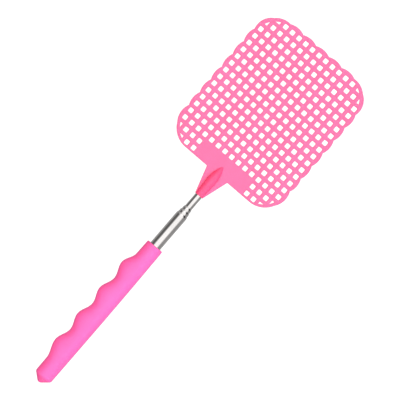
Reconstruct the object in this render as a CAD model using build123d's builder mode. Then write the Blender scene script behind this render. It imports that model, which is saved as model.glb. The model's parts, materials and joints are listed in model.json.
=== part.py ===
from build123d import *
import math
import os

# A telescopic fly swatter, closed and lying flat, in millimetres.
# +Y runs along the pole from the grip to the head, +Z is square to the head's flat face, and
# the origin is on the pole's axis, in the plane of the grip's mouth.

# Pole: four steel tubes, each running inside the one before
OUTER_TUBE_D = 8.4
TUBE_D_STEP = 1.0  # each tube is this much thinner than the one it slides in
TUBE_WALL = 0.3
OUTER_TUBE_SHOW = 28.6  # outer tube standing out of the grip's mouth
SECOND_TUBE_SHOW = 2.9  # second tube standing out of the outer one, closed
THIRD_TUBE_SHOW = 2.9
INNER_TUBE_SHOW = 10.8  # inner tube between the third tube's end and the head's socket
OUTER_TUBE_IN_GRIP = 112.0
LIP_LENGTH = 1.2  # rolled-in end of a tube, which guides the next tube
LIP_LAND = 0.12  # flat ring left at the very end of the rolled lip
SLIDING_CLEARANCE = 0.03  # radial, between a rolled lip and the tube in it
END_GAP = 0.3  # along the pole, between a tube's foot and what stops it

# Friction shells: two half sleeves in a groove rolled near each sliding tube's foot
FOOT_LENGTH = 2.0  # full-width tube below the groove
GROOVE_LENGTH = 6.0
GROOVE_DEPTH = 0.3
GROOVE_SLOPE = 0.4  # length along the pole of each sloping side of the groove
SHELL_CLEARANCE = 0.02  # radial, to the groove and to the bore around it
SHELL_END_GAP = 0.1
SHELL_SPLIT = 0.4  # gap between the two halves

# Base plug: closes the outer tube inside the grip
PLUG_LENGTH = 3.0
PLUG_FLANGE = 1.0
PLUG_CHAMFER = 0.4

# Head: one flat moulding with a grid of holes, a neck and a socket boss
HEAD_WIDTH = 92.8
HEAD_LENGTH = 111.0
HEAD_THICKNESS = 1.8
SCALLOP_DEPTH = 1.3
SIDE_SCALLOPS = 6
TOP_SCALLOPS = 5
SIDE_SCALLOP_START = 23.2  # from the head's straight edge up to the first side valley
LOWER_CORNER_R = 16.9  # from the straight edge round to the lower corner's valley
LOWER_CORNER_WIDTH = 17.9  # from the end of the straight edge out to the head's full width
LOWER_VALLEY_UP = 9.3  # that valley's height above the straight edge
LOWER_CORNER_SCALLOP = 2.0  # depth of the wide scallop between it and the first side valley
UPPER_CORNER_WIDTH = 16.6  # between the last side valley and the first top valley
UPPER_CORNER_LENGTH = 18.1
UPPER_VALLEY_IN = 5.6  # the upper corner's valley, in from the last side valley
UPPER_VALLEY_UP = 14.1
UPPER_CORNER_SCALLOPS = (2.6, 1.35)  # depths of the corner's scallops, on its side and its top
HOLE_WIDTH = 3.25
HOLE_LENGTH = 3.4
HOLE_PITCH_X = 5.95
HOLE_PITCH_Y = 6.05
RIM_SIDE = 3.1
RIM_TOP = 3.1
RIM_BOTTOM = 1.5
RIM_INNER_CORNER_R = 16.0
SMALLEST_HOLE = 0.25  # share of a whole hole below which a hole cut by the rim is left out
PAD_WIDTH = 42.6  # solid web behind the neck, without holes
PAD_LENGTH = 12.0
NECK_LENGTH = 19.1  # from the socket's mouth to the head's straight edge
NECK_BASE_WIDTH = 18.2
NECK_SHOULDER = 3.1  # length of the narrowed end at the socket's mouth
NECK_SIDE = 0.42  # flat web beside the boss just above the shoulder
NECK_END_SIDE = 0.1  # flat web beside the boss at the mouth
SOCKET_DEPTH = 13.0
BOSS_WALL = 1.08  # around the inner tube, at the boss's widest
BOSS_MOUTH_WALL = 0.45
BOSS_WIDEST = 12.8  # from the mouth to the boss's widest station
BOSS_LENGTH = 27.4
BOSS_SHOULDER_PULL = 6.5  # the nose curve leaves the widest station straight for this long
BOSS_NOSE_PULL = 2.6  # and reaches the tip from this far below it
BOSS_NOSE_WIDTH = 0.36  # where it is this share of the widest radius

# Grip: one soft moulding with four finger ridges on its -X side
GRIP_LENGTH = 121.2
GRIP_MOUTH_R = 6.35
GRIP_BODY_R = 6.85
GRIP_TAIL_R = 6.7
GRIP_SWELL_Y = 60.0  # from the mouth to where the back reaches the body radius
GRIP_MOUTH_FILLET = 1.0
GRIP_MOUTH_CHAMFER = 0.3
BUTT_CONE_LENGTH = 4.9
BUTT_SHOULDER_R = 1.6  # rounding between the grip's side and its cone
BUTT_TIP_FLAT_R = 1.0
BUTT_TIP_R = 1.5  # rounding between the cone and its small flat tip
RIDGE_COUNT = 4
RIDGE_PITCH = 22.95
RIDGE_TOP_R = 10.35
RIDGE_VALLEY_R = 7.1
RIDGE_FIRST_Y = 22.9  # from the mouth to the first ridge's crest
RIDGE_RISE = 11.0  # from the plain grip to the first crest
RIDGE_FALL = 13.8  # from the last crest back to the plain grip
STATION_COUNT = 40  # evenly spaced sections that the grip's body is lofted through

# Radii and stations along the pole that follow from the sizes above
TUBE_NAMES = ("outer_tube", "second_tube", "third_tube", "inner_tube")
tube_r = [OUTER_TUBE_D / 2 - i * TUBE_D_STEP / 2 for i in range(len(TUBE_NAMES))]
groove_span = FOOT_LENGTH + GROOVE_LENGTH + 2 * GROOVE_SLOPE
plug_top = -OUTER_TUBE_IN_GRIP + PLUG_LENGTH
plug_foot = -OUTER_TUBE_IN_GRIP - PLUG_FLANGE
tube_bottom = [-OUTER_TUBE_IN_GRIP, plug_top + END_GAP]
while len(tube_bottom) < len(TUBE_NAMES):
    tube_bottom.append(tube_bottom[-1] + groove_span + END_GAP)
third_top = OUTER_TUBE_SHOW + SECOND_TUBE_SHOW + THIRD_TUBE_SHOW
socket_mouth = third_top + INNER_TUBE_SHOW
tube_top = [
    OUTER_TUBE_SHOW,
    OUTER_TUBE_SHOW + SECOND_TUBE_SHOW,
    third_top,
    socket_mouth + SOCKET_DEPTH,
]
head_edge = socket_mouth + NECK_LENGTH
boss_r = tube_r[-1] + BOSS_WALL
boss_mouth_r = tube_r[-1] + BOSS_MOUTH_WALL
grip_tail = GRIP_LENGTH - BUTT_CONE_LENGTH - BUTT_SHOULDER_R


def make_tube(index):
    """One tube: its foot groove if it slides, its rolled lip if another tube runs in it."""
    r = tube_r[index]
    inner = r - TUBE_WALL
    bottom = tube_bottom[index]
    top = tube_top[index]
    outside = [(r, bottom)]
    inside = [(inner, bottom)]
    if index > 0:
        low = bottom + FOOT_LENGTH
        high = low + 2 * GROOVE_SLOPE + GROOVE_LENGTH
        for wall, line in ((r, outside), (inner, inside)):
            line.append((wall, low))
            line.append((wall - GROOVE_DEPTH, low + GROOVE_SLOPE))
            line.append((wall - GROOVE_DEPTH, high - GROOVE_SLOPE))
            line.append((wall, high))
    has_lip = index < len(TUBE_NAMES) - 1
    with BuildPart() as tube:
        with BuildSketch(Plane.XY):
            with BuildLine():
                if has_lip:
                    lip_r = tube_r[index + 1] + SLIDING_CLEARANCE
                    roll = r - lip_r - LIP_LAND
                    outside.append((r, top - LIP_LENGTH))
                    inside.append((inner, top - LIP_LENGTH))
                    inside.append((lip_r, top - LIP_LENGTH / 2))
                    inside.append((lip_r, top))
                    Polyline(outside)
                    corner = (r - roll, top - LIP_LENGTH)
                    EllipticalCenterArc(corner, roll, LIP_LENGTH, 0, arc_size=90)
                    Line((r - roll, top), (lip_r, top))
                else:
                    outside.append((r, top))
                    inside.append((inner, top))
                    Polyline(outside)
                    Line((r, top), (inner, top))
                Polyline(inside)
                Line((inner, bottom), (r, bottom))
            make_face()
        revolve(axis=Axis.Y)
    tube.part.label = TUBE_NAMES[index]
    return tube.part


def make_shell(index, side):
    """One half sleeve in the groove of a sliding tube, above (+1) or below (-1) the pole."""
    bore_r = tube_r[index - 1] - TUBE_WALL
    groove_r = tube_r[index] - GROOVE_DEPTH
    start = tube_bottom[index] + FOOT_LENGTH + GROOVE_SLOPE + SHELL_END_GAP
    length = GROOVE_LENGTH - 2 * SHELL_END_GAP
    with BuildPart() as shell:
        with BuildSketch(Plane.XZ.offset(-start)):
            Circle(bore_r - SHELL_CLEARANCE)
            Circle(groove_r + SHELL_CLEARANCE, mode=Mode.SUBTRACT)
            with Locations((0, side * (bore_r + SHELL_SPLIT / 2))):
                Rectangle(2 * bore_r, 2 * bore_r, mode=Mode.INTERSECT)
        extrude(amount=-length)
    name = "top_shell" if side > 0 else "bottom_shell"
    shell.part.label = TUBE_NAMES[index] + "_" + name
    return shell.part


def make_plug():
    """The stepped plug that closes the outer tube at its foot."""
    bore_r = tube_r[0] - TUBE_WALL
    foot = tube_bottom[0]
    with BuildPart() as base_plug:
        with BuildSketch(Plane.XY):
            with BuildLine():
                Polyline(
                    (0, plug_foot),
                    (tube_r[0], plug_foot),
                    (tube_r[0], foot),
                    (bore_r, foot),
                    (bore_r, plug_top - PLUG_CHAMFER),
                    (bore_r - PLUG_CHAMFER, plug_top),
                    (0, plug_top),
                    close=True,
                )
            make_face()
        revolve(axis=Axis.Y)
    base_plug.part.label = "base_plug"
    return base_plug.part


def bump(start, end, rise):
    """A round scallop from one valley to the next, swelling out to the right of its way."""
    a = Vector(start)
    b = Vector(end)
    way = b - a
    out = Vector(way.Y, -way.X).normalized()
    crest = (a + b) * 0.5 + out * rise
    ThreePointArc(a, crest, b)


def head_outline():
    """The head and neck seen square on: one side, its mirror image, then the top edge."""
    edge_x = HEAD_WIDTH / 2
    valley_x = edge_x - SCALLOP_DEPTH
    valley_y = head_edge + HEAD_LENGTH - SCALLOP_DEPTH
    first_y = head_edge + SIDE_SCALLOP_START
    side_pitch = (valley_y - UPPER_CORNER_LENGTH - first_y) / SIDE_SCALLOPS
    top_x = valley_x - UPPER_CORNER_WIDTH
    top_pitch = 2 * top_x / TOP_SCALLOPS
    side = [(valley_x, first_y + i * side_pitch) for i in range(SIDE_SCALLOPS + 1)]
    top = [(top_x - i * top_pitch, valley_y) for i in range(TOP_SCALLOPS + 1)]
    upper_valley = (valley_x - UPPER_VALLEY_IN, side[-1][1] + UPPER_VALLEY_UP)
    corner_x = edge_x - LOWER_CORNER_WIDTH
    corner_y = head_edge + LOWER_CORNER_R
    turn = math.degrees(math.acos((LOWER_CORNER_R - LOWER_VALLEY_UP) / LOWER_CORNER_R))
    with BuildSketch(mode=Mode.PRIVATE) as outline:
        with BuildLine():
            Polyline(
                (0, socket_mouth),
                (boss_mouth_r + NECK_END_SIDE, socket_mouth),
                (boss_r + NECK_SIDE, socket_mouth + NECK_SHOULDER),
                (NECK_BASE_WIDTH / 2, head_edge),
                (corner_x, head_edge),
            )
            corner = CenterArc((corner_x, corner_y), LOWER_CORNER_R, -90, turn)
            bump(corner @ 1, side[0], LOWER_CORNER_SCALLOP)
            for start, end in zip(side, side[1:]):
                bump(start, end, SCALLOP_DEPTH)
            bump(side[-1], upper_valley, UPPER_CORNER_SCALLOPS[0])
            bump(upper_valley, top[0], UPPER_CORNER_SCALLOPS[1])
            mirror(about=Plane.YZ)
            for start, end in zip(top, top[1:]):
                bump(start, end, SCALLOP_DEPTH)
        make_face()
    return outline.sketch


def mesh_holes():
    """The grid of holes: whole inside the rim, cut by its round corners, none on the pad."""
    width = HEAD_WIDTH - 2 * RIM_SIDE
    length = HEAD_LENGTH - RIM_TOP - RIM_BOTTOM
    low = head_edge + RIM_BOTTOM
    side_columns = int(width / 2 // HOLE_PITCH_X)
    rows = int(length // HOLE_PITCH_Y) + 1
    places = []
    for row in range(rows):
        y = low + HOLE_LENGTH / 2 + row * HOLE_PITCH_Y
        for column in range(-side_columns, side_columns + 1):
            x = column * HOLE_PITCH_X
            on_pad = abs(x) < PAD_WIDTH / 2 and y < head_edge + PAD_LENGTH
            if not on_pad:
                places.append((x, y))
    with BuildSketch(mode=Mode.PRIVATE) as holes:
        with Locations(*places):
            Rectangle(HOLE_WIDTH, HOLE_LENGTH)
        with Locations((0, low + length / 2)):
            RectangleRounded(width, length, RIM_INNER_CORNER_R, mode=Mode.INTERSECT)
    smallest = SMALLEST_HOLE * HOLE_WIDTH * HOLE_LENGTH
    return [hole for hole in holes.faces() if hole.area > smallest]


def make_head():
    """Flat perforated head, its neck, and the bullet-shaped boss around the socket."""
    tip = socket_mouth + BOSS_LENGTH
    widest = socket_mouth + BOSS_WIDEST
    with BuildPart() as swatter_head:
        with BuildSketch(Plane.XY.offset(-HEAD_THICKNESS / 2)):
            add(head_outline())
            add(mesh_holes(), mode=Mode.SUBTRACT)
        extrude(amount=HEAD_THICKNESS)
        with BuildSketch(Plane.XY):
            with BuildLine():
                Polyline((0, tip), (0, socket_mouth), (boss_mouth_r, socket_mouth))
                Line((boss_mouth_r, socket_mouth), (boss_r, widest))
                Bezier(
                    (boss_r, widest),
                    (boss_r, widest + BOSS_SHOULDER_PULL),
                    (boss_r * BOSS_NOSE_WIDTH, tip - BOSS_NOSE_PULL),
                    (0, tip),
                )
            make_face()
        revolve(axis=Axis.Y)
        with BuildSketch(Plane.XZ.offset(-socket_mouth)):
            Circle(tube_r[-1])
        extrude(amount=-SOCKET_DEPTH, mode=Mode.SUBTRACT)
    swatter_head.part.label = "swatter_head"
    return swatter_head.part


def finger_r(depth):
    """Half width of the grip on the finger side, at a depth below the mouth."""
    last_crest = RIDGE_FIRST_Y + (RIDGE_COUNT - 1) * RIDGE_PITCH
    plain = back_r(depth)
    if depth < RIDGE_FIRST_Y - RIDGE_RISE or depth > last_crest + RIDGE_FALL:
        return plain
    if depth < RIDGE_FIRST_Y:
        share = (RIDGE_FIRST_Y - depth) / RIDGE_RISE
        low = plain
    elif depth > last_crest:
        share = (depth - last_crest) / RIDGE_FALL
        low = plain
    else:
        share = (depth - RIDGE_FIRST_Y) / (RIDGE_PITCH / 2)
        low = RIDGE_VALLEY_R
    return low + (RIDGE_TOP_R - low) * (1 + math.cos(math.pi * share)) / 2


def back_r(depth):
    """Half width of the grip on its plain back, at a depth below the mouth."""
    if depth < GRIP_SWELL_Y:
        share = depth / GRIP_SWELL_Y
        return GRIP_MOUTH_R + (GRIP_BODY_R - GRIP_MOUTH_R) * math.sin(math.pi / 2 * share)
    share = (depth - GRIP_SWELL_Y) / (grip_tail - GRIP_SWELL_Y)
    return GRIP_BODY_R - (GRIP_BODY_R - GRIP_TAIL_R) * share**2


def make_grip():
    """Soft grip: a lofted body with finger ridges, a cone butt, and the pole's blind bore."""
    shoulder = GRIP_LENGTH - BUTT_CONE_LENGTH
    with BuildPart() as grip:
        for station in range(STATION_COUNT + 1):
            depth = grip_tail * station / STATION_COUNT
            with BuildSketch(Plane.XZ.offset(depth)):
                with BuildLine():
                    back = back_r(depth)
                    CenterArc((0, 0), back, -90, 180)
                    EllipticalCenterArc((0, 0), finger_r(depth), back, 90, arc_size=180)
                make_face()
        loft()
        fillet(grip.edges().group_by(Axis.Y)[-1], GRIP_MOUTH_FILLET)
        with BuildSketch(Plane.XY):
            with BuildLine():
                FilletPolyline(
                    (GRIP_TAIL_R, -grip_tail),
                    (GRIP_TAIL_R, -shoulder),
                    (BUTT_TIP_FLAT_R, -GRIP_LENGTH),
                    (0, -GRIP_LENGTH),
                    radius=[BUTT_SHOULDER_R, BUTT_TIP_R],
                )
                Polyline((0, -GRIP_LENGTH), (0, -grip_tail), (GRIP_TAIL_R, -grip_tail))
            make_face()
        revolve(axis=Axis.Y)
        with BuildSketch(Plane.XY):
            with BuildLine():
                Polyline(
                    (0, 0),
                    (tube_r[0] + GRIP_MOUTH_CHAMFER, 0),
                    (tube_r[0], -GRIP_MOUTH_CHAMFER),
                    (tube_r[0], plug_foot),
                    (0, plug_foot),
                    close=True,
                )
            make_face()
        revolve(axis=Axis.Y, mode=Mode.SUBTRACT)
    grip.part.label = "grip"
    return grip.part


pieces = [make_grip(), make_plug(), make_head()]
for index in range(len(TUBE_NAMES)):
    pieces.append(make_tube(index))
    if index > 0:
        pieces.append(make_shell(index, 1))
        pieces.append(make_shell(index, -1))

os.makedirs("parts", exist_ok=True)
for piece in pieces:
    export_step(piece, "parts/" + piece.label + ".step")
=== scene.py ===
"""Looks of the telescopic fly swatter: moulded head, drawn steel pole, ridged grip and studio."""

import json
import math

import bmesh
import bpy
from bpy.props import FloatProperty, FloatVectorProperty, IntProperty, PointerProperty
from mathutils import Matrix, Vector


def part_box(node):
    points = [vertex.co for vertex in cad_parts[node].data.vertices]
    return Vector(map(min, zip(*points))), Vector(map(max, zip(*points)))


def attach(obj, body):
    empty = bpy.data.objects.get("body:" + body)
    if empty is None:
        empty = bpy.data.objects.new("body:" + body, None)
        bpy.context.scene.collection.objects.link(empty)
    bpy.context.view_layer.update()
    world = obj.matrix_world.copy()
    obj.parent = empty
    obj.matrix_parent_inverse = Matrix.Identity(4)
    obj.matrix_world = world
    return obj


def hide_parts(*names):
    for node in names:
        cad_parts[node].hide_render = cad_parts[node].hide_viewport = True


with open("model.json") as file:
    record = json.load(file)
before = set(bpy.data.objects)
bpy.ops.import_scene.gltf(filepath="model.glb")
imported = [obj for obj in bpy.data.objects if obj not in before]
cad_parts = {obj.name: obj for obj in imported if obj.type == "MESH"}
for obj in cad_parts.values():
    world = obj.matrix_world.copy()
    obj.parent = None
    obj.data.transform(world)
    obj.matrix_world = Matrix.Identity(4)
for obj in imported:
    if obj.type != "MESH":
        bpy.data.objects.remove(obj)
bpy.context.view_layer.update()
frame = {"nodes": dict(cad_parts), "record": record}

bl_info = {
    "name": "Telescopic Fly Swatter",
    "version": (1, 0, 0),
    "blender": (4, 5, 0),
    "location": "3D View > Sidebar > Fly Swatter",
    "description": "Builds the looks of a telescopic fly swatter on its CAD frame",
    "category": "Object",
}

MM = 0.001
HEAD_LOW, HEAD_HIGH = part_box("swatter_head")
GRIP_LOW, GRIP_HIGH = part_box("grip")
TUBES = ("outer_tube", "second_tube", "third_tube", "inner_tube")
TUBE_BODIES = ("handle", "second_tube_body", "third_tube_body", "head_body")


# ---------------- properties


def length(name, description, default):
    """A size in metres, given here in millimetres."""
    return FloatProperty(
        name=name,
        description=description,
        default=default * MM,
        subtype="DISTANCE",
        unit="LENGTH",
        precision=5,
    )


def colour(name, description, default):
    return FloatVectorProperty(
        name=name,
        description=description,
        default=default,
        subtype="COLOR",
        size=3,
        min=0.0,
        max=1.0,
    )


class SwatterHeadSettings(bpy.types.PropertyGroup):
    thickness: length("Thickness", "Thickness of the flat moulding", 1.8)
    edge_round: length("Edge Rounding", "Radius of every moulded edge", 0.55)
    scallop_depth: length("Scallop Depth", "Depth of the rim's waves", 1.3)
    side_scallops: IntProperty(name="Side Scallops", description="Waves on each side", default=6)
    top_scallops: IntProperty(name="Top Scallops", description="Waves on the top edge", default=5)
    first_valley: length("First Valley", "From the straight edge to the first valley", 23.2)
    lower_corner: length("Lower Corner", "Radius of the corners beside the neck", 16.9)
    lower_corner_width: length("Lower Corner Width", "End of the straight edge to full width", 17.9)
    lower_valley_up: length("Lower Valley Height", "Lower corner's valley above the edge", 9.3)
    lower_scallop: length("Lower Scallop", "Depth of the wave above that valley", 2.0)
    upper_corner_width: length("Upper Corner Width", "Last side valley to first top valley", 16.6)
    upper_corner_length: length("Upper Corner Length", "The same, along the pole", 18.1)
    upper_valley_in: length("Upper Valley In", "Upper corner's valley, in from the side", 5.6)
    upper_valley_up: length("Upper Valley Up", "The same, above the last side valley", 14.1)
    upper_side_scallop: length("Upper Side Scallop", "Depth of the corner's side wave", 2.6)
    upper_top_scallop: length("Upper Top Scallop", "Depth of the corner's top wave", 1.35)
    hole_width: length("Hole Width", "Size of a hole across the head", 3.25)
    hole_length: length("Hole Length", "Size of a hole along the pole", 3.4)
    hole_corner: length("Hole Corner", "Corner radius of a hole", 0.6)
    pitch_x: length("Pitch Across", "Hole spacing across the head", 5.95)
    pitch_y: length("Pitch Along", "Hole spacing along the pole", 6.05)
    rim_side: length("Side Rim", "Solid rim beside the holes", 3.1)
    rim_top: length("Top Rim", "Solid rim above the holes", 3.1)
    rim_bottom: length("Bottom Rim", "Solid rim below the holes", 1.5)
    rim_corner: length("Rim Corner", "Inner corner radius of the rim", 16.0)
    pad_width: length("Pad Width", "Width of the solid pad at the neck", 42.6)
    pad_length: length("Pad Length", "Length of the solid pad at the neck", 12.0)
    neck_length: length("Neck Length", "From the socket's mouth to the straight edge", 19.1)
    neck_base: length("Neck Base", "Half width of the neck where it meets the head", 9.1)
    neck_shoulder: length("Neck Shoulder", "Length of the neck's narrowed end", 3.1)
    neck_side: length("Neck Side", "Flat web beside the boss at the shoulder", 0.42)
    boss_radius: length("Boss Radius", "Widest radius of the socket boss", 3.78)
    boss_mouth: length("Boss Mouth", "Radius of the boss at its mouth", 3.15)
    boss_widest: length("Boss Widest", "From the mouth to the widest station", 12.8)
    boss_length: length("Boss Length", "From the mouth to the boss's tip", 27.4)
    socket_depth: length("Socket Depth", "Depth of the pole's socket", 13.0)


class SwatterGripSettings(bpy.types.PropertyGroup):
    mouth_radius: length("Mouth Radius", "Radius of the grip at its mouth", 6.35)
    body_radius: length("Body Radius", "Radius of the plain back", 6.85)
    tail_radius: length("Tail Radius", "Radius just above the cone", 6.7)
    swell: length("Swell", "From the mouth to the full radius", 60.0)
    mouth_round: length("Mouth Rounding", "Radius of the edge around the mouth", 1.0)
    cone_length: length("Cone Length", "Length of the cone butt", 4.9)
    tip_flat: length("Tip Flat", "Radius of the flat end of the cone", 1.0)
    ridges: IntProperty(name="Ridges", description="Finger ridges", default=4)
    ridge_pitch: length("Ridge Pitch", "Spacing of the finger ridges", 22.95)
    ridge_crest: length("Ridge Crest", "Reach of a ridge from the pole's axis", 10.35)
    ridge_valley: length("Ridge Valley", "Reach between two ridges", 7.1)
    first_crest: length("First Crest", "From the mouth to the first crest", 22.9)
    ridge_rise: length("Ridge Rise", "Length of the slope before the first crest", 11.0)
    ridge_fall: length("Ridge Fall", "Length of the slope after the last crest", 13.8)


class SwatterPoleSettings(bpy.types.PropertyGroup):
    wall: length("Wall", "Wall of each tube", 0.3)
    lip_length: length("Lip Length", "Length of the rolled lip", 1.2)
    lip_land: length("Lip Land", "Flat ring at the very end of the lip", 0.12)
    lip_gap: length("Lip Gap", "Radial gap between a lip and the next tube", 0.03)
    groove_depth: length("Groove Depth", "Depth of the shell groove", 0.3)
    foot: length("Foot", "Full tube below the groove", 2.0)
    groove: length("Groove", "Length of the shell groove", 6.0)
    groove_slope: length("Groove Slope", "Length of each end of the groove", 0.4)


class SwatterFinishSettings(bpy.types.PropertyGroup):
    head: colour("Head", "Colour of the thin mesh and neck", (0.92, 0.103, 0.237))
    boss: colour("Boss", "Deeper colour where the plastic is thick", (0.95, 0.06, 0.165))
    grip: colour("Grip", "Colour of the soft grip", (0.92, 0.1, 0.328))
    steel: colour("Steel", "Colour of the polished tubes", (0.68, 0.66, 0.65))
    brass: colour("Brass", "Colour of the spring shells and plug", (0.72, 0.52, 0.22))


class SwatterStageSettings(bpy.types.PropertyGroup):
    view_width: length("View Width", "Width of the picture at the object", 271.2)
    view_x: length("View Across", "Middle of the picture, across the head", 2.62)
    view_y: length("View Along", "Middle of the picture, along the pole", 43.5)
    view_turn: FloatProperty(
        name="View Turn",
        description="How far the camera is turned about the vertical",
        default=math.radians(40.7),
        subtype="ANGLE",
        unit="ROTATION",
    )
    camera_height: length("Camera Height", "Height of the camera", 1500.0)
    floor_size: length("Floor Size", "Side of the square floor", 6000.0)


def settings(group):
    return getattr(bpy.context.scene, "swatter_" + group)


# ---------------- node helpers


def wire(tree, kind, inputs=None, **properties):
    """A new node, with its inputs set to values or linked to sockets, by name or by number."""
    node = tree.nodes.new(kind)
    for key, value in properties.items():
        setattr(node, key, value)
    for key, value in (inputs or {}).items():
        socket = node.inputs[key]
        if isinstance(value, bpy.types.NodeSocket):
            tree.links.new(value, socket)
        else:
            socket.default_value = value
    return node


def made(tree, kind, inputs=None, **properties):
    """The first output of a new node."""
    return wire(tree, kind, inputs, **properties).outputs[0]


def tree_of(*values):
    """The tree of the sockets among these values."""
    return next(value.id_data for value in values if isinstance(value, bpy.types.NodeSocket))


def calc(operation, *values):
    """The result of one Math node on these values, of which one at least is a socket."""
    return made(tree_of(*values), "ShaderNodeMath", dict(enumerate(values)), operation=operation)


def add(one, two):
    return calc("ADD", one, two)


def take(one, two):
    """The first value less the second."""
    return calc("SUBTRACT", one, two)


def times(one, two):
    return calc("MULTIPLY", one, two)


def vector(**sides):
    return made(tree_of(*sides.values()), "ShaderNodeCombineXYZ", sides)


def sides_of(point):
    """The X, Y and Z of a point, as three sockets."""
    return wire(point.id_data, "ShaderNodeSeparateXYZ", {0: point}).outputs


def scaled(arrow, scale):
    inputs = {0: arrow, "Scale": scale}
    return made(arrow.id_data, "ShaderNodeVectorMath", inputs, operation="SCALE")


def join(*pieces):
    tree = tree_of(*pieces)
    node = tree.nodes.new("GeometryNodeJoinGeometry")
    for piece in pieces:
        tree.links.new(piece, node.inputs[0])
    return node.outputs[0]


def shift(geometry, way):
    inputs = {"Geometry": geometry, "Translation": way}
    return made(geometry.id_data, "GeometryNodeTransform", inputs)


def new_tree(name, sockets):
    """An empty geometry tree with a geometry input and these named inputs, and its two ends."""
    tree = bpy.data.node_groups.new(name, "GeometryNodeTree")
    tree.interface.new_socket("Geometry", in_out="INPUT", socket_type="NodeSocketGeometry")
    for label, kind in sockets:
        tree.interface.new_socket(label, in_out="INPUT", socket_type="NodeSocket" + kind)
    tree.interface.new_socket("Geometry", in_out="OUTPUT", socket_type="NodeSocketGeometry")
    start = tree.nodes.new("NodeGroupInput")
    return tree, start.outputs, tree.nodes.new("NodeGroupOutput")


def close_tree(geometry, material, end):
    """Gives the finished mesh its material and hands it to the end of the tree."""
    tree = geometry.id_data
    real = made(tree, "GeometryNodeRealizeInstances", {"Geometry": geometry})
    coated = made(tree, "GeometryNodeSetMaterial", {"Geometry": real, "Material": material})
    tree.links.new(coated, end.inputs[0])


def grow(piece, tree, values):
    """The plain mesh that a geometry tree makes of this piece, put in place of its own mesh."""
    modifier = piece.modifiers.new(tree.name, "NODES")
    modifier.node_group = tree
    identifiers = {
        item.name: item.identifier
        for item in tree.interface.items_tree
        if item.item_type == "SOCKET" and item.in_out == "INPUT"
    }
    for label, value in values.items():
        modifier[identifiers[label]] = value
    settle(piece)


def settle(piece):
    """Applies the modifiers of a piece, as its evaluated mesh."""
    graph = bpy.context.evaluated_depsgraph_get()
    graph.update()
    mesh = bpy.data.meshes.new_from_object(piece.evaluated_get(graph))
    piece.modifiers.clear()
    old = piece.data
    piece.data = mesh
    mesh.name = piece.name
    bpy.data.meshes.remove(old)


# ---------------- mesh helpers


ON_AXIS = 1e-7  # a point of a profile nearer than this to the axis is a single point

def new_piece(name, mesh):
    piece = bpy.data.objects.new(name, mesh)
    bpy.context.scene.collection.objects.link(piece)
    return piece


def loops_piece(name, loops):
    """An object of closed edge loops in the plane of the head."""
    points = []
    edges = []
    for loop in loops:
        first = len(points)
        count = len(loop)
        points += [(x, y, 0.0) for x, y in loop]
        edges += [(first + i, first + (i + 1) % count) for i in range(count)]
    mesh = bpy.data.meshes.new(name)
    mesh.from_pydata(points, edges, [])
    return new_piece(name, mesh)


def lathe(name, profile, segments):
    """A closed solid turned about the pole's axis from (radius, station) points."""
    mesh = bpy.data.meshes.new(name)
    shape = bmesh.new()
    rings = []
    for radius, station in profile:
        if radius < ON_AXIS:
            rings.append([shape.verts.new((0.0, station, 0.0))])
            continue
        ring = []
        for i in range(segments):
            turn = 2 * math.pi * i / segments
            point = (radius * math.cos(turn), station, radius * math.sin(turn))
            ring.append(shape.verts.new(point))
        rings.append(ring)
    pairs = list(zip(rings, rings[1:]))
    if len(rings[0]) > 1:
        pairs.append((rings[-1], rings[0]))
    for low, high in pairs:
        for i in range(segments):
            j = (i + 1) % segments
            corners = [low[i % len(low)], low[j % len(low)]]
            corners += [high[j % len(high)], high[i % len(high)]]
            shape.faces.new(dict.fromkeys(corners))
    bmesh.ops.recalc_face_normals(shape, faces=shape.faces)
    shape.to_mesh(mesh)
    shape.free()
    return new_piece(name, mesh)


def arc(start, end, rise, count):
    """Points from start to just before end, on an arc that swells to the right of its way."""
    a = Vector(start)
    b = Vector(end)
    half = (b - a) / 2
    out = Vector((half.y, -half.x)).normalized()
    radius = (half.length_squared + rise * rise) / (2 * rise)
    centre = a + half + out * (rise - radius)
    reach = math.asin(min(half.length / radius, 1.0))
    if rise > radius:
        reach = math.pi - reach
    points = []
    for i in range(count):
        turn = reach * (2 * i / count - 1)
        spoke = out * math.cos(turn) + half.normalized() * math.sin(turn)
        points.append(tuple(centre + spoke * radius))
    return points


def round_corner(before, corner, after, radius, count):
    """Points of a small fillet at a corner of an outline."""
    c = Vector(corner)
    one = (Vector(before) - c).normalized()
    two = (Vector(after) - c).normalized()
    half = one.angle(two) / 2
    centre = c + (one + two).normalized() * (radius / math.sin(half))
    reach = radius / math.tan(half)
    start = c + one * reach
    end = c + two * reach
    return [start.to_tuple()] + between(start, end, centre, count - 1) + [end.to_tuple()]


def between(start, end, centre, count):
    """Evenly spaced points on the circle around this centre, between two points on it."""
    one = Vector(start) - centre
    two = Vector(end) - centre
    points = []
    for i in range(1, count + 1):
        spoke = one.normalized().slerp(two.normalized(), i / (count + 1))
        points.append((centre + spoke * one.length).to_tuple())
    return points


def ease(before, corner, after, radius, steps=4):
    """Points of a smooth turn at a corner of a turned profile."""
    c = Vector(corner)
    a = c + (Vector(before) - c).normalized() * radius
    b = c + (Vector(after) - c).normalized() * radius
    points = []
    for i in range(steps + 1):
        t = i / steps
        points.append(tuple(a * (1 - t) ** 2 + c * (2 * t * (1 - t)) + b * t**2))
    return points


def smooth(piece, crease_degrees):
    """Smooth faces, sharp only where two faces turn by more than the crease angle."""
    shape = bmesh.new()
    shape.from_mesh(piece.data)
    for face in shape.faces:
        face.smooth = True
    for edge in shape.edges:
        turn = edge.calc_face_angle(0.0)
        edge.smooth = turn < math.radians(crease_degrees)
    shape.to_mesh(piece.data)
    shape.free()


def weigh_normals(piece):
    """Lets each large flat face keep its own direction right up to its rounded edge."""
    modifier = piece.modifiers.new("weighted", "WEIGHTED_NORMAL")
    modifier.keep_sharp = True
    modifier.weight = 100
    settle(piece)


# ---------------- materials


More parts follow.
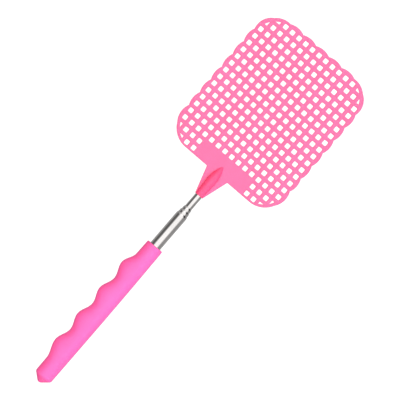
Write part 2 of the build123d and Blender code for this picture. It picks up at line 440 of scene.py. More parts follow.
PLASTIC_BLEED = 1.2 * MM  # how far light spreads under the skin of the plastics
PAINTED_ROOT_SHADE = (0.0, 0.05, 0.14)  # painted shade: a cooler, darker tint at the foot of the boss, where it meets the sheet
PAINTED_ROOT_SHADE_SHARE = 0.18


def new_material(name):
    material = bpy.data.materials.new(name)
    material.use_nodes = True
    material.node_tree.nodes.clear()
    return material, material.node_tree


def dress(piece, material):
    piece.data.materials.clear()
    piece.data.materials.append(material)


def close_material(shader):
    wire(shader.id_data, "ShaderNodeOutputMaterial", {"Surface": shader})


def moulded(base, roughness, normal, specular, depth, bleed):
    """Closes the material of a plastic that lets some light in under its skin."""
    inputs = {
        "Base Color": base,
        "Roughness": roughness,
        "Normal": normal,
        "IOR": 1.5,
        "Specular IOR Level": specular,
        "Subsurface Weight": depth,
        "Subsurface Radius": bleed,
        "Subsurface Scale": PLASTIC_BLEED,
    }
    close_material(made(base.id_data, "ShaderNodeBsdfPrincipled", inputs))


def bare_metal(base, roughness, normal):
    """Closes the material of a metal."""
    inputs = {"Base Color": base, "Roughness": roughness, "Normal": normal, "Metallic": 1.0}
    close_material(made(base.id_data, "ShaderNodeBsdfPrincipled", inputs))


def object_point(tree):
    return wire(tree, "ShaderNodeTexCoord").outputs["Object"]


def noise(where, scale, detail=3.0, roughness=0.5):
    """Smooth noise from 0 to 1; the scale is in waves per metre."""
    inputs = {"Vector": where, "Scale": scale, "Detail": detail, "Roughness": roughness}
    return made(where.id_data, "ShaderNodeTexNoise", inputs)


def stretched(where, scale):
    return made(where.id_data, "ShaderNodeMapping", {"Vector": where, "Scale": scale})


def ramp(value, low, high, to_low, to_high, smoothstep=False):
    """The value, carried from the range low to high over to another range."""
    kind = "SMOOTHSTEP" if smoothstep else "LINEAR"
    inputs = {"Value": value, "From Min": low, "From Max": high}
    inputs.update({"To Min": to_low, "To Max": to_high})
    return made(value.id_data, "ShaderNodeMapRange", inputs, interpolation_type=kind)


def mix(factor, one, two):
    """Two colours mixed; the Mix node's colour sockets are its inputs 6 and 7 and output 2."""
    inputs = {0: factor, 6: one, 7: two}
    return wire(tree_of(factor, one), "ShaderNodeMix", inputs, data_type="RGBA").outputs[2]


def blend(one, two, share):
    """Two values mixed, with this share of the first."""
    return add(times(one, share), times(two, 1.0 - share))


def rgba(shade, gain=1.0):
    return tuple(min(c * gain, 1.0) for c in shade) + (1.0,)


def mottled(cloud, shade, spread):
    """A colour that drifts darker and lighter by this spread, with a cloud of noise."""
    factor = ramp(cloud, 0.3, 0.7, 0.0, 1.0)
    return mix(factor, rgba(shade, 1.0 - spread), rgba(shade, 1.0 + spread))


def bump(height, distance, strength=1.0, below=None):
    inputs = {"Height": height, "Distance": distance, "Strength": strength}
    if below is not None:
        inputs["Normal"] = below
    return made(height.id_data, "ShaderNodeBump", inputs)


def head_plastic():
    """Thin translucent plastic, deeper in colour where the socket boss is thick, with painted shade
    at the foot of the boss.
    """
    finish = settings("finish")
    half = settings("head").thickness / 2
    material, tree = new_material("head_plastic")
    where = object_point(tree)
    above = calc("ABSOLUTE", sides_of(where)["Z"])
    thick = ramp(above, half - 0.02 * MM, half + 0.3 * MM, 0.0, 1.0, True)
    flow = noise(stretched(where, (1.0, 0.25, 1.0)), 60.0, 4.0)
    speckle = noise(where, 900.0, 2.0)
    drift = blend(flow, speckle, 0.7)
    web = mottled(drift, finish.head, 0.07)
    core = mottled(drift, finish.boss, 0.08)
    # painted shade: near its foot, the boss's colour is pulled part way towards a cool dark tint,
    # fading out between 1.6 and 4 mm from the sheet's middle
    root_shaded_core = mix(PAINTED_ROOT_SHADE_SHARE, core, rgba(PAINTED_ROOT_SHADE))
    root_shade_mask = ramp(above, 1.6 * MM, 4.0 * MM, 1.0, 0.0, True)
    base = mix(thick, web, mix(root_shade_mask, core, root_shaded_core))
    waviness = noise(where, 90.0, 2.0)
    orange_peel = noise(where, 1500.0, 2.0)
    soft = bump(waviness, 0.4 * MM, 0.25)
    normal = bump(orange_peel, 0.04 * MM, 0.35, soft)
    shine = ramp(speckle, 0.2, 0.8, 0.34, 0.46)
    moulded(base, shine, normal, 0.4, 0.2, (1.0, 0.35, 0.5))
    return material


def grip_plastic():
    """Soft satin moulding with a fine spark-eroded grain and a faint parting line."""
    finish = settings("finish")
    material, tree = new_material("soft_grip")
    where = object_point(tree)
    from_parting = calc("ABSOLUTE", sides_of(where)["Z"])
    cloud = noise(where, 70.0, 3.0)
    grain = noise(where, 2600.0, 2.0, 0.6)
    base = mottled(blend(cloud, grain, 0.6), finish.grip, 0.05)
    seam = ramp(from_parting, 0.06 * MM, 0.22 * MM, 1.0, 0.0, True)
    raised = bump(seam, 0.08 * MM, 0.5)
    rolled = bump(cloud, 0.4 * MM, 0.15, raised)
    normal = bump(grain, 0.03 * MM, 0.5, rolled)
    shine = ramp(grain, 0.2, 0.8, 0.46, 0.6)
    moulded(base, shine, normal, 0.35, 0.12, (1.0, 0.3, 0.6))
    return material


def tube_steel():
    """Drawn and polished tube: fine lines along it, faint marks around it from sliding."""
    finish = settings("finish")
    material, tree = new_material("steel_tube")
    where = object_point(tree)
    drawn = noise(stretched(where, (1.0, 0.02, 1.0)), 4200.0, 2.0)
    rubbed = noise(stretched(where, (0.06, 1.0, 0.06)), 2600.0, 2.0)
    bloom = noise(where, 120.0, 3.0)
    worn = blend(drawn, rubbed, 0.6)
    base = mottled(bloom, finish.steel, 0.05)
    marks = ramp(worn, 0.3, 0.7, 0.1, 0.17)
    shine = add(marks, ramp(bloom, 0.3, 0.7, 0.0, 0.04))
    normal = bump(worn, 0.006 * MM, 0.3)
    bare_metal(base, shine, normal)
    return material


def spring_brass(name):
    """Stamped brass with a rolled grain and darker tarnish clouds."""
    finish = settings("finish")
    material, tree = new_material(name)
    where = object_point(tree)
    rolled = noise(stretched(where, (1.0, 0.05, 1.0)), 3000.0, 2.0)
    cloud = noise(where, 300.0, 4.0)
    tarnish = ramp(cloud, 0.4, 0.75, 0.0, 1.0)
    base = mix(tarnish, rgba(finish.brass), rgba(finish.brass, 0.6))
    shine = ramp(times(rolled, cloud), 0.1, 0.5, 0.22, 0.42)
    normal = bump(rolled, 0.01 * MM, 0.4)
    bare_metal(base, shine, normal)
    return material


# ---------------- head


NECK_END_SIDE = 0.1 * MM  # flat web beside the boss at the neck's very end
SHOULDER_FILLET = 1.2 * MM
NECK_FILLET = 0.6 * MM  # where the neck meets the straight edge
FILLET_STEPS = 4
CORNER_STEPS = 12
SCALLOP_STEPS = 12
LOWER_SCALLOP_STEPS = 14
UPPER_SIDE_STEPS = 16

RIM_SLACK = 0.6 * MM  # how far a whole hole may reach into the rim's round corner
SMALLEST_HOLE = 0.25  # a cut hole with less than this share of a whole one is left out
CUT_HOLE_CORNER = 0.45 * MM
CUT_HOLE_STEPS = 3
RIM_ARC_STEPS = 4
SIDE_SHARE = 0.45  # the share of a side that the rounding at one end may use
TRUE_CORNER = math.radians(160)  # wider corners belong to the rim's arc and stay
HALVINGS = 30

WHOLE_HOLE_STEPS = 2
EDGE_POINTS = 7  # around the half circle of a moulded edge
WELD = 0.01 * MM

BOSS_MOUTH_ROUND = 0.35 * MM
BOSS_SHOULDER = 6.5 * MM  # pull of the curve along the boss at its widest station
BOSS_NOSE = 2.6 * MM  # pull of the curve back from the tip
BOSS_NOSE_WIDTH = 0.36  # share of the boss's radius at that pull
BOSS_STEPS = 24
BOSS_SIDES = 72

SOCKET_CLEARANCE = 0.01 * MM
SOCKET_LEAD = 0.25 * MM
SOCKET_OVERCUT = 1.0 * MM
HEAD_CREASE = 36  # degrees


def head_outline():
    """The head and neck seen square on, anticlockwise, in metres."""
    head = settings("head")
    mouth = HEAD_LOW.y
    edge = mouth + head.neck_length
    side_x = HEAD_HIGH.x
    valley_x = side_x - head.scallop_depth
    valley_y = HEAD_HIGH.y - head.scallop_depth
    first_y = edge + head.first_valley
    side_pitch = (valley_y - head.upper_corner_length - first_y) / head.side_scallops
    top_x = valley_x - head.upper_corner_width
    top_pitch = 2 * top_x / head.top_scallops
    side = [(valley_x, first_y + i * side_pitch) for i in range(head.side_scallops + 1)]
    top = [(top_x - i * top_pitch, valley_y) for i in range(head.top_scallops + 1)]
    upper_valley = (valley_x - head.upper_valley_in, side[-1][1] + head.upper_valley_up)
    corner = Vector((side_x - head.lower_corner_width, edge + head.lower_corner))
    corner_turn = math.acos(1 - head.lower_valley_up / head.lower_corner)
    tip = (head.boss_mouth + NECK_END_SIDE, mouth)
    shoulder = (head.boss_radius + head.neck_side, mouth + head.neck_shoulder)
    base = (head.neck_base, edge)
    right = [tip]
    right += round_corner(tip, shoulder, base, SHOULDER_FILLET, FILLET_STEPS)
    right += round_corner(shoulder, base, (corner.x, edge), NECK_FILLET, FILLET_STEPS)
    for i in range(CORNER_STEPS + 1):
        turn = corner_turn * i / CORNER_STEPS - math.pi / 2
        spoke = Vector((math.cos(turn), math.sin(turn)))
        right.append((corner + spoke * head.lower_corner).to_tuple())
    right += arc(right.pop(), side[0], head.lower_scallop, LOWER_SCALLOP_STEPS)
    for start, end in zip(side, side[1:]):
        right += arc(start, end, head.scallop_depth, SCALLOP_STEPS)
    right += arc(side[-1], upper_valley, head.upper_side_scallop, UPPER_SIDE_STEPS)
    right += arc(upper_valley, top[0], head.upper_top_scallop, SCALLOP_STEPS)
    over = []
    for start, end in zip(top, top[1:]):
        over += arc(start, end, head.scallop_depth, SCALLOP_STEPS)
    left = [(-x, y) for x, y in reversed(right)]
    return right + over + [top[-1]] + left


def hole_field():
    """The lowest, highest and outermost edges of the holes, and the rows and side columns."""
    head = settings("head")
    low = HEAD_LOW.y + head.neck_length + head.rim_bottom
    high = HEAD_HIGH.y - head.rim_top
    side = HEAD_HIGH.x - head.rim_side
    rows = int((high - low) // head.pitch_y) + 1
    return low, high, side, rows, int(side // head.pitch_x)


def cut_holes():
    """The small holes that the rim's round corners leave of the grid, clockwise."""
    head = settings("head")
    low, high, side, rows, columns = hole_field()
    smallest = SMALLEST_HOLE * head.hole_width * head.hole_length
    loops = []
    for row in range(rows):
        y = low + head.hole_length / 2 + row * head.pitch_y
        centre_y = min(max(y, low + head.rim_corner), high - head.rim_corner)
        for column in range(1, columns + 1):
            x = column * head.pitch_x
            centre = Vector((side - head.rim_corner, centre_y))
            box = hole_corners(x, y, head)
            far = max((corner - centre).length for corner in box)
            beyond = x > centre.x and centre_y != y
            if beyond and far > head.rim_corner + RIM_SLACK:
                loop = clip_to_circle(box, centre, head.rim_corner)
                if polygon_area(loop) > smallest:
                    soft = soften(loop, CUT_HOLE_CORNER)
                    loops.append(list(reversed(soft)))
                    loops.append([(-x, y) for x, y in soft])
    return loops


def hole_corners(x, y, head):
    half_x = head.hole_width / 2
    half_y = head.hole_length / 2
    signs = ((-1, -1), (1, -1), (1, 1), (-1, 1))
    return [Vector((x + i * half_x, y + j * half_y)) for i, j in signs]


def clip_to_circle(box, centre, radius):
    """The part of a box inside a circle, anticlockwise from its corner nearest the centre."""
    nearest = min(range(4), key=lambda i: (box[i] - centre).length)
    box = box[nearest:] + box[:nearest]
    kept = []
    for a, b in zip(box, box[1:] + box[:1]):
        inside_a = (a - centre).length <= radius
        inside_b = (b - centre).length <= radius
        if inside_a:
            kept.append(a)
        if inside_a != inside_b:
            crossing = on_circle(a, b, centre, radius)
            if inside_b:
                rim = between(kept[-1], crossing, centre, RIM_ARC_STEPS)
                kept += [Vector(point) for point in rim]
            kept.append(crossing)
    return kept


def on_circle(a, b, centre, radius):
    """Where the side from a to b crosses the circle."""
    inside, outside = sorted((a, b), key=lambda point: (point - centre).length)
    for _ in range(HALVINGS):
        middle = (inside + outside) / 2
        if (middle - centre).length <= radius:
            inside = middle
        else:
            outside = middle
    return inside


def polygon_area(loop):
    turned = loop[1:] + loop[:1]
    return abs(sum(a.x * b.y - a.y * b.x for a, b in zip(loop, turned))) / 2


def soften(loop, radius):
    """The loop with its true corners rounded, as far as its sides allow."""
    points = []
    count = len(loop)
    for i, corner in enumerate(loop):
        before = loop[i - 1]
        after = loop[(i + 1) % count]
        angle = (before - corner).angle(after - corner)
        if angle > TRUE_CORNER:
            points.append(corner.to_tuple())
            continue
        room = min((before - corner).length, (after - corner).length) * SIDE_SHARE
        rounding = min(radius, room * math.tan(angle / 2))
        points += round_corner(before, corner, after, rounding, CUT_HOLE_STEPS)
    return points


# inputs of the sheet's tree: places worked out from the frame, and settings by their own names
SHEET_PLACES = "side low high half_pad pad_top half_thickness".split()
SHEET_SETTINGS = "pitch_x pitch_y hole_width hole_length hole_corner rim_corner edge_round".split()


def perforated_sheet_tree():
    """Geometry nodes: a grid of holes in a flat moulding with every edge rounded."""
    sockets = [(label, "Float") for label in SHEET_PLACES + SHEET_SETTINGS]
    sockets += [("columns", "Int"), ("rows", "Int"), ("material", "Material")]
    tree, given, end = new_tree("perforated_sheet", sockets)

    # one point per hole of the full grid
    span_x = times(take(given["columns"], 1.0), given["pitch_x"])
    span_y = times(take(given["rows"], 1.0), given["pitch_y"])
    grid_inputs = {"Size X": span_x, "Size Y": span_y}
    grid_inputs.update({"Vertices X": given["columns"], "Vertices Y": given["rows"]})
    grid = made(tree, "GeometryNodeMeshGrid", grid_inputs)
    half_length = times(given["hole_length"], 0.5)
    half_width = times(given["hole_width"], 0.5)
    first_y = add(given["low"], half_length)
    placed = shift(grid, vector(Y=add(first_y, times(span_y, 0.5))))

    # leave out the pad and what the rim's round corners cut
    x, y, _ = sides_of(made(tree, "GeometryNodeInputPosition"))
    x = calc("ABSOLUTE", x)
    beside_pad = calc("GREATER_THAN", x, given["half_pad"])
    above_pad = calc("GREATER_THAN", y, given["pad_top"])
    off_pad = calc("MAXIMUM", beside_pad, above_pad)
    middle = times(add(given["low"], given["high"]), 0.5)
    half_span = times(take(given["high"], given["low"]), 0.5)
    from_middle = calc("ABSOLUTE", take(y, middle))
    corner_x = take(given["side"], given["rim_corner"])
    corner_y = take(half_span, given["rim_corner"])
    over_x = take(add(x, half_width), corner_x)
    over_y = take(add(from_middle, half_length), corner_y)
    past_x = calc("MAXIMUM", over_x, 0.0)
    past_y = calc("MAXIMUM", over_y, 0.0)
    squares = add(times(past_x, past_x), times(past_y, past_y))
    reach = add(given["rim_corner"], RIM_SLACK)
    whole = calc("LESS_THAN", calc("SQRT", squares), reach)
    chosen = times(off_pad, whole)

    # one rounded hole on each
    size = {"Width": given["hole_width"], "Height": given["hole_length"]}
    hole = made(tree, "GeometryNodeCurvePrimitiveQuadrilateral", size, mode="RECTANGLE")
    fillet = {"Curve": hole, "Radius": given["hole_corner"], "Count": WHOLE_HOLE_STEPS}
    rounded = made(tree, "GeometryNodeFilletCurve", fillet, mode="POLY")
    clockwise = made(tree, "GeometryNodeReverseCurve", {"Curve": rounded})
    copies = {"Points": placed, "Selection": chosen, "Instance": clockwise}
    holes = made(tree, "GeometryNodeInstanceOnPoints", copies)
    real_holes = made(tree, "GeometryNodeRealizeInstances", {"Geometry": holes})
    outline = made(tree, "GeometryNodeMeshToCurve", {"Mesh": given["Geometry"]})
    joined = join(real_holes, outline)
    loops = made(tree, "GeometryNodeSetCurveNormal", {"Curve": joined}, mode="Z_UP")

    # rounded side walls: a half circle pulled apart to the sheet's thickness
    back = times(given["edge_round"], -1.0)
    half_circle = {"Start Angle": -math.pi / 2, "Sweep Angle": math.pi}
    half_circle.update({"Radius": given["edge_round"], "Resolution": EDGE_POINTS})
    bow = made(tree, "GeometryNodeCurveArc", half_circle, mode="RADIUS")
    _, height, _ = sides_of(made(tree, "GeometryNodeInputPosition"))
    pull = take(given["half_thickness"], given["edge_round"])
    up_or_down = calc("SIGN", calc("ROUND", times(height, 1e6)))
    pulled = vector(X=back, Y=times(pull, up_or_down))
    profile = made(tree, "GeometryNodeSetPosition", {"Geometry": bow, "Offset": pulled})
    walls = made(tree, "GeometryNodeCurveToMesh", {"Curve": loops, "Profile Curve": profile})

    # flat faces, filled between loops set back by the rounding
    inward = scaled(made(tree, "GeometryNodeInputNormal"), back)
    set_back = made(tree, "GeometryNodeSetPosition", {"Geometry": loops, "Offset": inward})
    flat = made(tree, "GeometryNodeFillCurve", {"Curve": set_back}, mode="TRIANGLES")
    rise = vector(Z=given["half_thickness"])
    turned = made(tree, "GeometryNodeFlipFaces", {"Mesh": flat})
    shell = join(shift(turned, scaled(rise, -1.0)), shift(flat, rise), walls)
    welded = made(tree, "GeometryNodeMergeByDistance", {"Geometry": shell, "Distance": WELD})
    close_tree(welded, given["material"], end)
    return tree


def boss_profile():
    """Half outline of the bullet-shaped boss, from its mouth to its tip."""
    head = settings("head")
    mouth = HEAD_LOW.y
    tip = mouth + head.boss_length
    rim = (head.boss_mouth, mouth)
    widest = (head.boss_radius, mouth + head.boss_widest)
    profile = [(0.0, mouth)]
    profile += ease((0.0, mouth), rim, widest, BOSS_MOUTH_ROUND)
    curve = [
        Vector(widest),
        Vector((head.boss_radius, widest[1] + BOSS_SHOULDER)),
        Vector((head.boss_radius * BOSS_NOSE_WIDTH, tip - BOSS_NOSE)),
        Vector((0.0, tip)),
    ]
    for i in range(BOSS_STEPS + 1):
        t = i / BOSS_STEPS
        weights = ((1 - t) ** 3, 3 * t * (1 - t) ** 2, 3 * t * t * (1 - t), t**3)
        profile.append(tuple(sum((p * w for p, w in zip(curve, weights)), Vector((0.0, 0.0)))))
    return profile


def combine(piece, tool, operation):
    """Joins a closed tool to the piece or cuts it out, and removes the tool."""
    modifier = piece.modifiers.new(operation.lower(), "BOOLEAN")
    modifier.operation = operation
    modifier.solver = "MANIFOLD"
    modifier.object = tool
    settle(piece)
    bpy.data.objects.remove(tool)


class SWATTER_OT_head(bpy.types.Operator):
    """Build the moulded head: perforated sheet, scalloped rim, neck and socket boss"""

    bl_idname = "swatter.build_head"
    bl_label = "Build Head"

    def execute(self, context):
        head = settings("head")
        low, high, side, rows, columns = hole_field()
        plastic = head_plastic()
        piece = loops_piece("moulded_head", [head_outline()] + cut_holes())
        values = {
            "side": side,
            "low": low,
            "high": high,
            "half_pad": head.pad_width / 2,
            "pad_top": HEAD_LOW.y + head.neck_length + head.pad_length,
            "half_thickness": head.thickness / 2,
            "columns": 2 * columns + 1,
            "rows": rows,
            "material": plastic,
        }
        values.update({label: getattr(head, label) for label in SHEET_SETTINGS})
        grow(piece, perforated_sheet_tree(), values)
        combine(piece, lathe("boss_tool", boss_profile(), BOSS_SIDES), "UNION")
        combine(piece, self.bore_tool(head), "DIFFERENCE")
        dress(piece, plastic)
        smooth(piece, HEAD_CREASE)
        weigh_normals(piece)
        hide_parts("swatter_head")
        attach(piece, "head_body")
        return {"FINISHED"}

    def bore_tool(self, head):
        """The socket: a hair wider than the tube, with a small lead at its mouth."""
        radius = tube_radius(3) + SOCKET_CLEARANCE
        mouth = HEAD_LOW.y
        floor = mouth + head.socket_depth
        profile = [
            (0.0, mouth - SOCKET_OVERCUT),
            (radius + SOCKET_LEAD, mouth - SOCKET_OVERCUT),
            (radius + SOCKET_LEAD, mouth),
            (radius, mouth + SOCKET_LEAD),
            (radius, floor),
            (0.0, floor),
        ]
        return lathe("bore_tool", profile, BOSS_SIDES)


# ---------------- pole


FOOT_CHAMFER = 0.06 * MM
TOP_CHAMFER = 0.05 * MM  # on the inner tube, which has no lip
GROOVE_ROUND = 0.12 * MM
GROOVE_STEPS = 3
LIP_SHOULDER_ROUND = 0.3 * MM
LIP_ROUND = 0.1 * MM
LIP_STEPS = 5
PLAIN_START = 12 * MM  # the plain run of a tube starts this far above its foot
PLAIN_END = 2 * MM  # and ends this far below its top
PLAIN_STEPS = 24
TUBE_SIDES = 96
CREASE = 40  # degrees, for the tubes and the grip


def tube_radius(index):
    low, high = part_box(TUBES[index])
    return (high.x - low.x) / 2


def tube_profile(index):
    """Closed half section of one tube: foot, groove, body and rolled lip, then back inside."""
    pole = settings("pole")
    low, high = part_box(TUBES[index])
    radius = tube_radius(index)
    inner = radius - pole.wall
    outside = [(radius - FOOT_CHAMFER, low.y), (radius, low.y + FOOT_CHAMFER)]
    inside = [(inner, low.y)]
    if index > 0:
        start = low.y + pole.foot
        end = start + 2 * pole.groove_slope + pole.groove
        for wall, line in ((radius, outside), (inner, inside)):
            deep = wall - pole.groove_depth
            near = (deep, start + pole.groove_slope)
            far = (deep, end - pole.groove_slope)
            line += ease((wall, low.y), (wall, start), near, GROOVE_ROUND, GROOVE_STEPS)
            line += [near, far]
            line += ease(far, (wall, end), (wall, end + MM), GROOVE_ROUND, GROOVE_STEPS)
    run = high.y - low.y - (PLAIN_START + PLAIN_END)
    for i in range(PLAIN_STEPS + 1):
        outside.append((radius, low.y + PLAIN_START + run * i / PLAIN_STEPS))
    if index < len(TUBES) - 1:
        lip = tube_radius(index + 1) + pole.lip_gap
        rolled = (lip + pole.lip_land, high.y)
        start = (radius, high.y - pole.lip_length)
        outside += ease((radius, low.y), start, rolled, LIP_SHOULDER_ROUND, LIP_STEPS)
        outside += ease(start, rolled, (lip, high.y), LIP_ROUND, LIP_STEPS)
        inside.append((inner, high.y - pole.lip_length))
        inside += [(lip, high.y - pole.lip_length / 2), (lip, high.y)]
    else:
        outside += [(radius, high.y - TOP_CHAMFER), (radius - TOP_CHAMFER, high.y)]
        inside.append((inner, high.y))
    return outside + list(reversed(inside))


class SWATTER_OT_pole(bpy.types.Operator):
    """Turn the four telescoping tubes with their grooves and rolled lips"""

    bl_idname = "swatter.build_pole"
    bl_label = "Build Pole"

    def execute(self, context):
        steel = tube_steel()
        for index, (node, body) in enumerate(zip(TUBES, TUBE_BODIES)):
            piece = lathe("turned_" + node, tube_profile(index), TUBE_SIDES)
            dress(piece, steel)
            smooth(piece, CREASE)
            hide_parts(node)
            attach(piece, body)
        return {"FINISHED"}


class SWATTER_OT_fittings(bpy.types.Operator):
    """Finish the hidden brass fittings: the friction shells and the base plug"""

    bl_idname = "swatter.finish_fittings"
    bl_label = "Finish Fittings"

    def execute(self, context):
        for slot, name in (("shell_metal", "shell_brass"), ("brass_plug", "plug_brass")):
            brass = spring_brass(name)
            for entry in frame["record"]["subparts"]:
                if entry["material_slot"] == slot:
                    dress(frame["nodes"][entry["node"]], brass)
        return {"FINISHED"}


# ---------------- grip


TAIL_STRAIGHT = 1.6 * MM  # cylinder between the long taper and the cone
BORE_LEAD = 0.3 * MM
MOUTH_STEPS = 8
TAPER_STEPS = 150
CONE_ROUND = 1.0 * MM
CONE_STEPS = 6
TIP_ROUND = 0.8 * MM
TIP_STEPS = 4
GRIP_SIDES = 128


def grip_profile():
    """Closed half section of the plain grip: up the bore, over the mouth and down to the butt."""
    grip = settings("grip")
    bottom = GRIP_LOW.y
    mouth = GRIP_HIGH.y
    bore = tube_radius(0)
    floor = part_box("base_plug")[0].y
    tail = bottom + grip.cone_length + TAIL_STRAIGHT
    rim = (grip.mouth_radius, mouth)
    below_rim = (grip.mouth_radius, bottom)
    taper = (grip.tail_radius, tail)
    shoulder = (grip.tail_radius, bottom + grip.cone_length)
    tip = (grip.tip_flat, bottom)
    points = [(0.0, floor), (bore, floor), (bore, mouth - BORE_LEAD), (bore + BORE_LEAD, mouth)]
    points += ease((bore, mouth), rim, below_rim, grip.mouth_round, MOUTH_STEPS)
    top = mouth - grip.mouth_round
    for i in range(1, TAPER_STEPS + 1):
        station = top + (tail - top) * i / TAPER_STEPS
        points.append((plain_radius(mouth - station, mouth - tail), station))
    points += ease(taper, shoulder, tip, CONE_ROUND, CONE_STEPS)
    points += ease(shoulder, tip, (0.0, bottom), TIP_ROUND, TIP_STEPS)
    points.append((0.0, bottom))
    return points


def plain_radius(depth, tail_depth):
    """Radius of the grip's plain back at a depth below its mouth."""
    grip = settings("grip")
    if depth < grip.swell:
        share = math.sin(math.pi / 2 * depth / grip.swell)
        return grip.mouth_radius + (grip.body_radius - grip.mouth_radius) * share
    share = (depth - grip.swell) / (tail_depth - grip.swell)
    return grip.body_radius - (grip.body_radius - grip.tail_radius) * share**2


RIDGE_SETTINGS = "ridge_pitch ridge_crest ridge_valley first_crest ridge_rise ridge_fall".split()


def finger_ridges_tree():
    """Geometry nodes: waves the -X side of a plain grip into finger ridges."""
    sockets = [(label, "Float") for label in ["bore", "last_crest"] + RIDGE_SETTINGS]
    sockets.append(("material", "Material"))
    tree, given, end = new_tree("finger_ridges", sockets)
    x, y, z = sides_of(made(tree, "GeometryNodeInputPosition"))
    depth = times(y, -1.0)
    plain = calc("SQRT", add(times(x, x), times(z, z)))

    # a cosine wave between the first and last crest, let down to the plain grip past them
    before = calc("DIVIDE", take(given["first_crest"], depth), given["ridge_rise"])
    after = calc("DIVIDE", take(depth, given["last_crest"]), given["ridge_fall"])
    farther = calc("MAXIMUM", before, after)
    past = calc("MINIMUM", calc("MAXIMUM", farther, 0.0), 1.0)
    limits = {"Value": depth, "Min": given["first_crest"], "Max": given["last_crest"]}
    along = take(made(tree, "ShaderNodeClamp", limits), given["first_crest"])
    phase = calc("DIVIDE", along, given["ridge_pitch"])

    def swing(turns):
        cosine = calc("COSINE", times(turns, 2 * math.pi))
        return times(add(cosine, 1.0), 0.5)

    height = times(take(given["ridge_crest"], given["ridge_valley"]), swing(phase))
    over = take(add(given["ridge_valley"], height), plain)
    faded = times(over, swing(times(past, 0.5)))
    stretch = add(calc("DIVIDE", faded, plain), 1.0)
    moved = vector(X=times(x, stretch), Y=y, Z=z)
    outer = calc("GREATER_THAN", plain, add(given["bore"], MM))
    chosen = times(outer, calc("LESS_THAN", x, 0.0))
    wave = {"Geometry": given["Geometry"], "Selection": chosen, "Position": moved}
    close_tree(made(tree, "GeometryNodeSetPosition", wave), given["material"], end)
    return tree


class SWATTER_OT_grip(bpy.types.Operator):
    """Build the soft grip: a turned body with finger ridges, a cone butt and the pole's bore"""

    bl_idname = "swatter.build_grip"
    bl_label = "Build Grip"

    def execute(self, context):
        grip = settings("grip")
        plastic = grip_plastic()
        piece = lathe("ridged_grip", grip_profile(), GRIP_SIDES)
        values = {
            "bore": tube_radius(0),
            "last_crest": grip.first_crest + (grip.ridges - 1) * grip.ridge_pitch,
            "material": plastic,
        }
        values.update({label: getattr(grip, label) for label in RIDGE_SETTINGS})
        grow(piece, finger_ridges_tree(), values)
        smooth(piece, CREASE)
        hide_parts("grip")
        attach(piece, "handle")
        return {"FINISHED"}


# ---------------- stage


WHITE = (1.0, 1.0, 1.0, 1.0)
STUDIO_LEVEL = 0.5  # light from where no card is
STUDIO_LEAST = 0.05
STUDIO_CARDS = (  # direction, full within and gone past these angles in degrees, strength
    ((0.1, 0.0, 1.0), 30.0, 51.0, 1.25),  # soft box overhead
    ((-0.45, 1.0, 0.55), 25.0, 60.0, 0.5),  # window beyond the head, left of it
    ((-1.0, -0.1, 0.2), 20.0, 62.0, -0.32),  # dark card at the finger side
    ((0.76, 0.56, 0.3), 20.0, 36.0, -0.42),  # dark card past the head, on its right
)
AREA_LIGHTS = (  # name, place, size in metres, power in watts
    ("key_light", (1.1, 0.2, 1.0), 0.9, 27.0),
    ("fill_light", (-0.7, -0.3, 1.2), 1.0, 9.0),
)

FLOOR_MATTE = (0.14, 0.14, 0.14, 1.0)
FLOOR_GLOW = 0.93
FLOOR_DIM = (0.5, 0.33)  # what the floor throws back at the object, beside it and farther out
FLOOR_DIM_FROM = 0.03
FLOOR_DIM_TO = 0.3
FLOOR_CLEARANCE = 4.0 * MM  # under the head as it turns

SENSOR_WIDTH = 36.0  # millimetres
CLIP_NEAR = 0.01
CLIP_FAR = 20.0


def studio_world():
    """White to the eye; in lighting and reflections, a soft box above with dark cards beside it."""
    world = bpy.data.worlds.new("studio")
    world.use_nodes = True
    tree = world.node_tree
    tree.nodes.clear()
    where = wire(tree, "ShaderNodeTexCoord").outputs["Generated"]
    light = STUDIO_LEVEL
    for towards, inner, outer, strength in STUDIO_CARDS:
        card = {0: where, 1: tuple(Vector(towards).normalized())}
        dot = wire(tree, "ShaderNodeVectorMath", card, operation="DOT_PRODUCT").outputs["Value"]
        gone = math.cos(math.radians(outer))
        full = math.cos(math.radians(inner))
        light = add(light, ramp(dot, gone, full, 0.0, strength, True))
    level = calc("MAXIMUM", light, STUDIO_LEAST)
    studio = made(tree, "ShaderNodeBackground", {"Strength": level})
    seen = made(tree, "ShaderNodeBackground", {"Color": WHITE, "Strength": 1.0})
    shader = by_ray(studio, seen)
    wire(tree, "ShaderNodeOutputWorld", {"Surface": shader})
    bpy.context.scene.world = world


def by_ray(thrown, seen):
    """One shader for light and reflections, and one that shows in the picture itself."""
    tree = thrown.id_data
    to_eye = wire(tree, "ShaderNodeLightPath").outputs["Is Camera Ray"]
    return made(tree, "ShaderNodeMixShader", {0: to_eye, 1: thrown, 2: seen})


def floor_material():
    """A pale floor lit from within, so that it stays white with only a breath of shadow."""
    material, tree = new_material("pale_floor")
    matte = made(tree, "ShaderNodeBsdfDiffuse", {"Color": FLOOR_MATTE})
    glow = made(tree, "ShaderNodeEmission", {"Color": WHITE, "Strength": FLOOR_GLOW})
    lit = made(tree, "ShaderNodeAddShader", {0: matte, 1: glow})
    aside = calc("ABSOLUTE", sides_of(object_point(tree))["X"])
    fade = ramp(aside, FLOOR_DIM_FROM, FLOOR_DIM_TO, *FLOOR_DIM, True)
    dim = made(tree, "ShaderNodeEmission", {"Color": WHITE, "Strength": fade})
    close_material(by_ray(dim, lit))
    return material


def soft_light(name, place, aim, size, power):
    """A large area light that lights surfaces without showing in the steel."""
    data = bpy.data.lights.new(name, "AREA")
    data.shape = "DISK"
    data.size = size
    data.energy = power
    light = bpy.data.objects.new(name, data)
    bpy.context.scene.collection.objects.link(light)
    light.location = place
    light.rotation_euler = (Vector(aim) - Vector(place)).to_track_quat("-Z", "Y").to_euler()
    light.visible_glossy = False


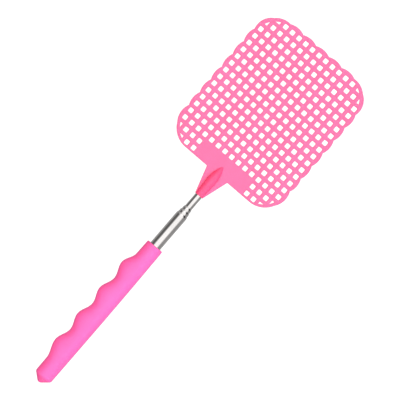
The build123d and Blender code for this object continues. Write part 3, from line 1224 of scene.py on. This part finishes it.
class SWATTER_OT_stage(bpy.types.Operator):
    """Set up the pale floor, the soft studio light and the camera"""

    bl_idname = "swatter.build_stage"
    bl_label = "Build Stage"

    def execute(self, context):
        stage = settings("stage")
        scene = context.scene
        scene.view_settings.view_transform = "Standard"
        studio_world()
        half = stage.floor_size / 2
        low = -HEAD_HIGH.x - FLOOR_CLEARANCE
        mesh = bpy.data.meshes.new("pale_floor")
        corners = [(-half, -half, low), (half, -half, low), (half, half, low), (-half, half, low)]
        mesh.from_pydata(corners, [], [(0, 1, 2, 3)])
        mesh.materials.append(floor_material())
        new_piece("pale_floor", mesh)
        for name, place, size, power in AREA_LIGHTS:
            soft_light(name, place, (0.0, stage.view_y, 0.0), size, power)
        data = bpy.data.cameras.new("camera")
        data.sensor_width = SENSOR_WIDTH
        data.lens = SENSOR_WIDTH * stage.camera_height / stage.view_width
        data.clip_start = CLIP_NEAR
        data.clip_end = CLIP_FAR
        camera = bpy.data.objects.new("camera", data)
        scene.collection.objects.link(camera)
        camera.location = (stage.view_x, stage.view_y, stage.camera_height)
        camera.rotation_euler = (0.0, 0.0, stage.view_turn)
        scene.camera = camera
        return {"FINISHED"}


# ---------------- add-on


class SWATTER_PT_panel(bpy.types.Panel):
    """Buttons that build each part of the fly swatter"""

    bl_idname = "SWATTER_PT_panel"
    bl_label = "Fly Swatter"
    bl_space_type = "VIEW_3D"
    bl_region_type = "UI"
    bl_category = "Fly Swatter"

    def draw(self, context):
        for operator in OPERATORS:
            self.layout.operator(operator.bl_idname)
        for group in GROUPS:
            box = self.layout.box()
            values = getattr(context.scene, "swatter_" + group)
            box.label(text=group.title())
            for name in values.__annotations__:
                box.prop(values, name)


GROUPS = {
    "head": SwatterHeadSettings,
    "grip": SwatterGripSettings,
    "pole": SwatterPoleSettings,
    "finish": SwatterFinishSettings,
    "stage": SwatterStageSettings,
}
OPERATORS = (
    SWATTER_OT_head,
    SWATTER_OT_pole,
    SWATTER_OT_fittings,
    SWATTER_OT_grip,
    SWATTER_OT_stage,
)


def register():
    for group, kind in GROUPS.items():
        bpy.utils.register_class(kind)
        setattr(bpy.types.Scene, "swatter_" + group, PointerProperty(type=kind))
    for kind in OPERATORS + (SWATTER_PT_panel,):
        bpy.utils.register_class(kind)


def unregister():
    for kind in reversed(OPERATORS + (SWATTER_PT_panel,)):
        bpy.utils.unregister_class(kind)
    for group, kind in GROUPS.items():
        delattr(bpy.types.Scene, "swatter_" + group)
        bpy.utils.unregister_class(kind)


def main():
    register()
    bpy.ops.swatter.build_head()
    bpy.ops.swatter.build_pole()
    bpy.ops.swatter.finish_fittings()
    bpy.ops.swatter.build_grip()
    bpy.ops.swatter.build_stage()


if __name__ == "__main__":
    main()
